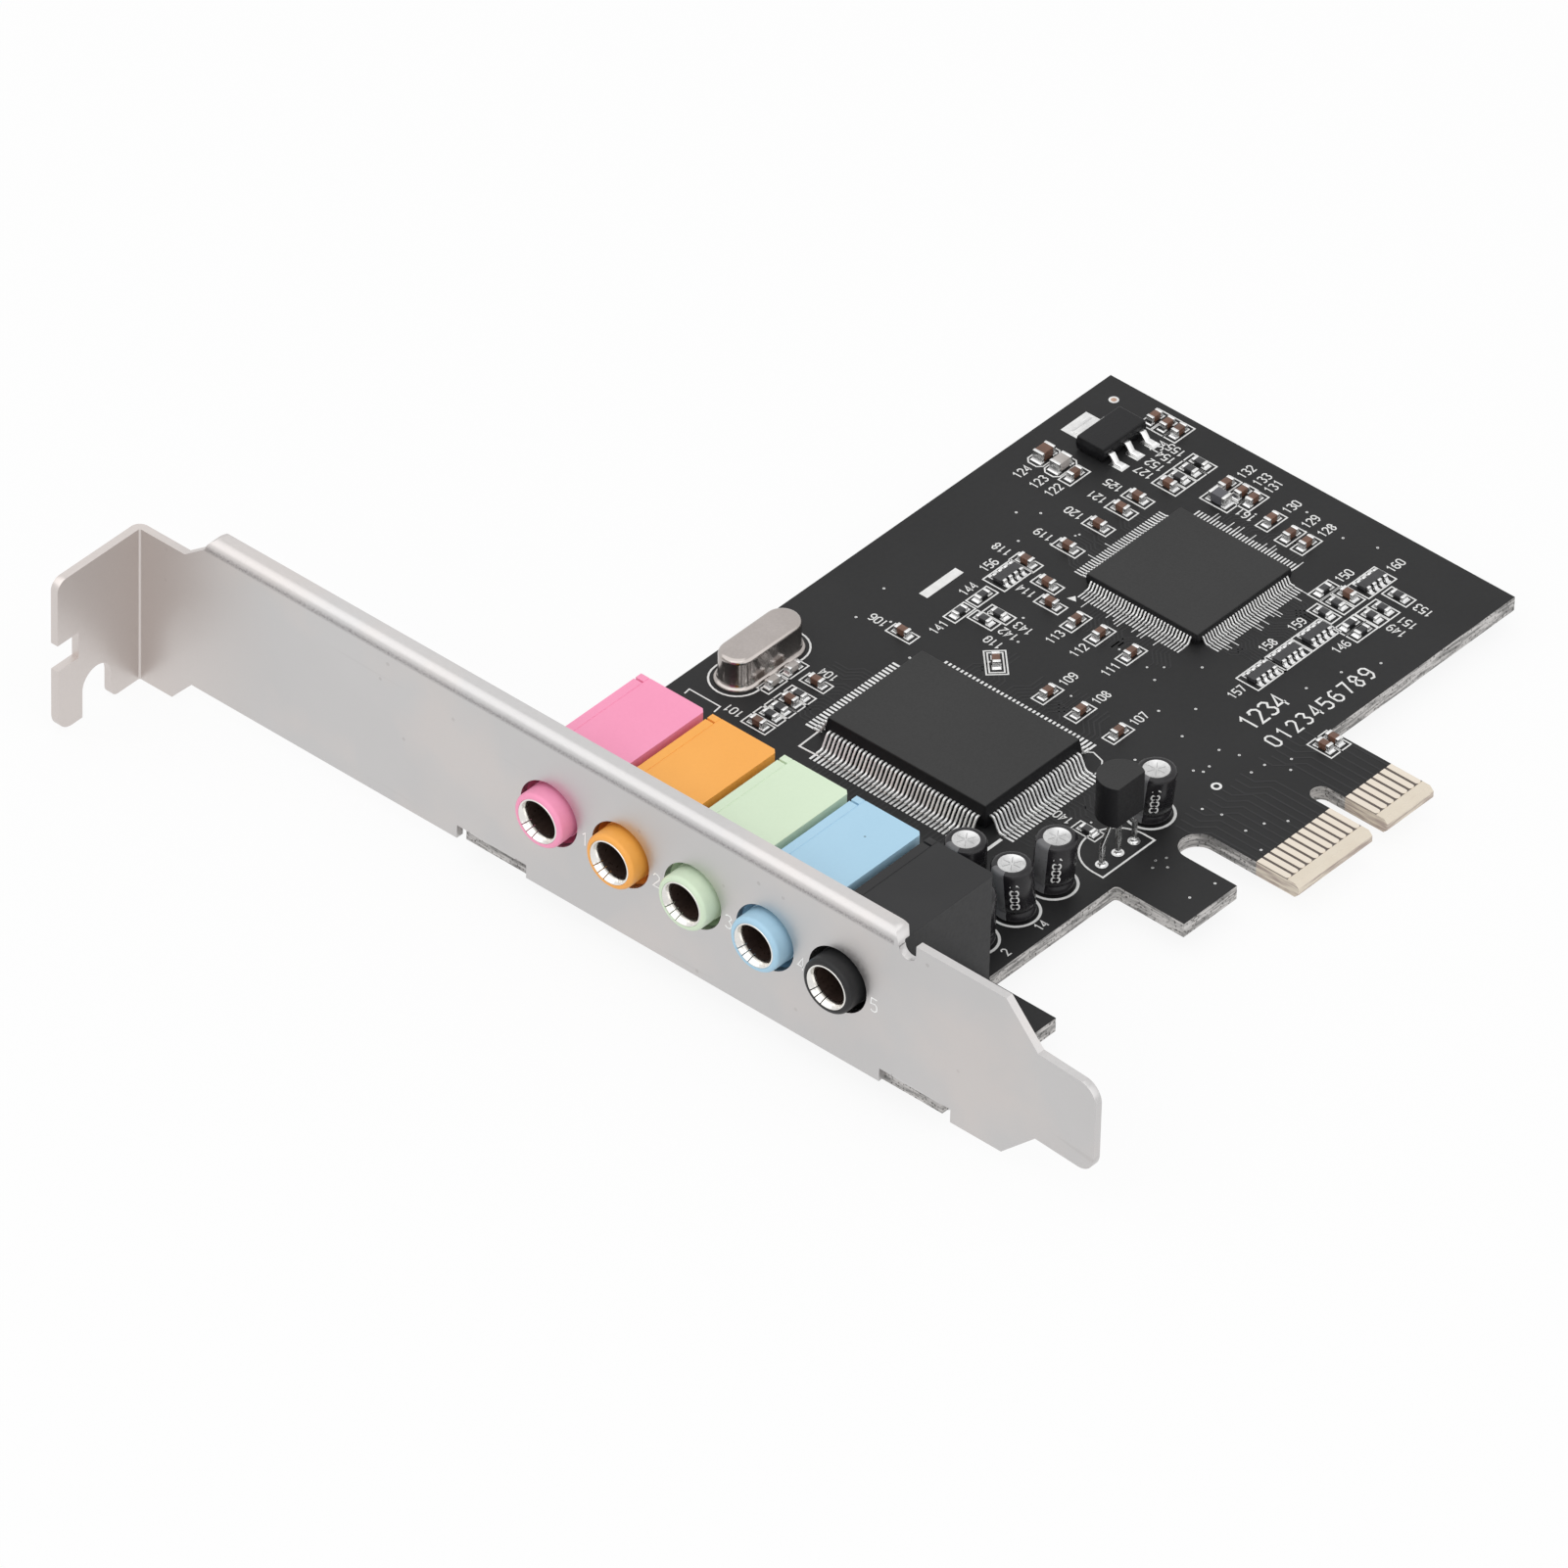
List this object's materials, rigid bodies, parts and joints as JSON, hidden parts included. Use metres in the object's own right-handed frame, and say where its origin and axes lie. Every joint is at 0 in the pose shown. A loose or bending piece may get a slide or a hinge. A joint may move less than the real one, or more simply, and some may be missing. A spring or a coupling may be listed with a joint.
{
  "type": "sound card",
  "caption": "Sound card for a PCI Express x1 slot: matt black board with two flat chips, coloured audio jacks and a full-height steel bracket.",
  "frame": {"origin": "on the bracket's outer face, level with the board's component side and at the middle of the bracket's length", "axes": "+X into the computer, away from the bracket; +Y up the bracket to its bent tab; +Z out of the board's component side"},
  "size_m": [0.1059, 0.12, 0.0212],
  "materials": {
    "bracket_steel": "satin zinc plated sheet, as folded",
    "screw_steel": "bright plated",
    "board_mask": "matt black solder mask over glass-epoxy laminate, pale layered edges",
    "contact_plating": "thin plated contact pads",
    "plastic_pink": "moulded, satin gloss",
    "plastic_orange": "moulded, satin gloss",
    "plastic_green": "moulded, satin gloss",
    "plastic_blue": "moulded, satin gloss",
    "plastic_black": "moulded, satin gloss",
    "jack_metal": "bright nickel plate",
    "terminal_metal": "tin plated spring strip",
    "package_resin": "matt moulded resin",
    "lead_tin": "bright tin plate",
    "capacitor_film": "black shrunk film with a grey stripe, over an aluminium can whose top is bare",
    "crystal_metal": "drawn and plated can",
    "capacitor_ceramic": "fired ceramic",
    "resistor_ceramic": "dark glaze over ceramic",
    "ferrite": "dark sintered ferrite"
  },
  "bodies": {
    "root": {"audio_chip_body": "package_resin", "audio_chip_leads": "lead_tin", "bracket": "bracket_steel", "bracket_screws": "screw_steel", "bridge_chip_body": "package_resin", "bridge_chip_leads": "lead_tin", "capacitor_1": "capacitor_film", "capacitor_2": "capacitor_film", "capacitor_3": "capacitor_film", "capacitor_4": "capacitor_film", "capacitor_5": "capacitor_film", "capacitor_leads": "lead_tin", "chip_capacitor_bodies": "capacitor_ceramic", "chip_capacitor_ends": "lead_tin", "chip_resistor_bodies": "resistor_ceramic", "chip_resistor_ends": "lead_tin", "circuit_board": "board_mask", "contacts_component_side": "contact_plating", "contacts_solder_side": "contact_plating", "crystal_base": "crystal_metal", "crystal_can": "crystal_metal", "crystal_leads": "lead_tin", "ferrite_bead_body": "ferrite", "ferrite_bead_ends": "lead_tin", "jack_housing_black": "plastic_black", "jack_housing_blue": "plastic_blue", "jack_housing_green": "plastic_green", "jack_housing_orange": "plastic_orange", "jack_housing_pink": "plastic_pink", "jack_sleeve_black": "jack_metal", "jack_sleeve_blue": "jack_metal", "jack_sleeve_green": "jack_metal", "jack_sleeve_orange": "jack_metal", "jack_sleeve_pink": "jack_metal", "jack_terminals_black": "terminal_metal", "jack_terminals_blue": "terminal_metal", "jack_terminals_green": "terminal_metal", "jack_terminals_orange": "terminal_metal", "jack_terminals_pink": "terminal_metal", "regulator_body": "package_resin", "regulator_leads": "lead_tin", "resistor_array_bodies": "resistor_ceramic", "resistor_array_ends": "lead_tin", "transistor_body": "package_resin", "transistor_leads": "lead_tin"}
  },
  "joints": []
}
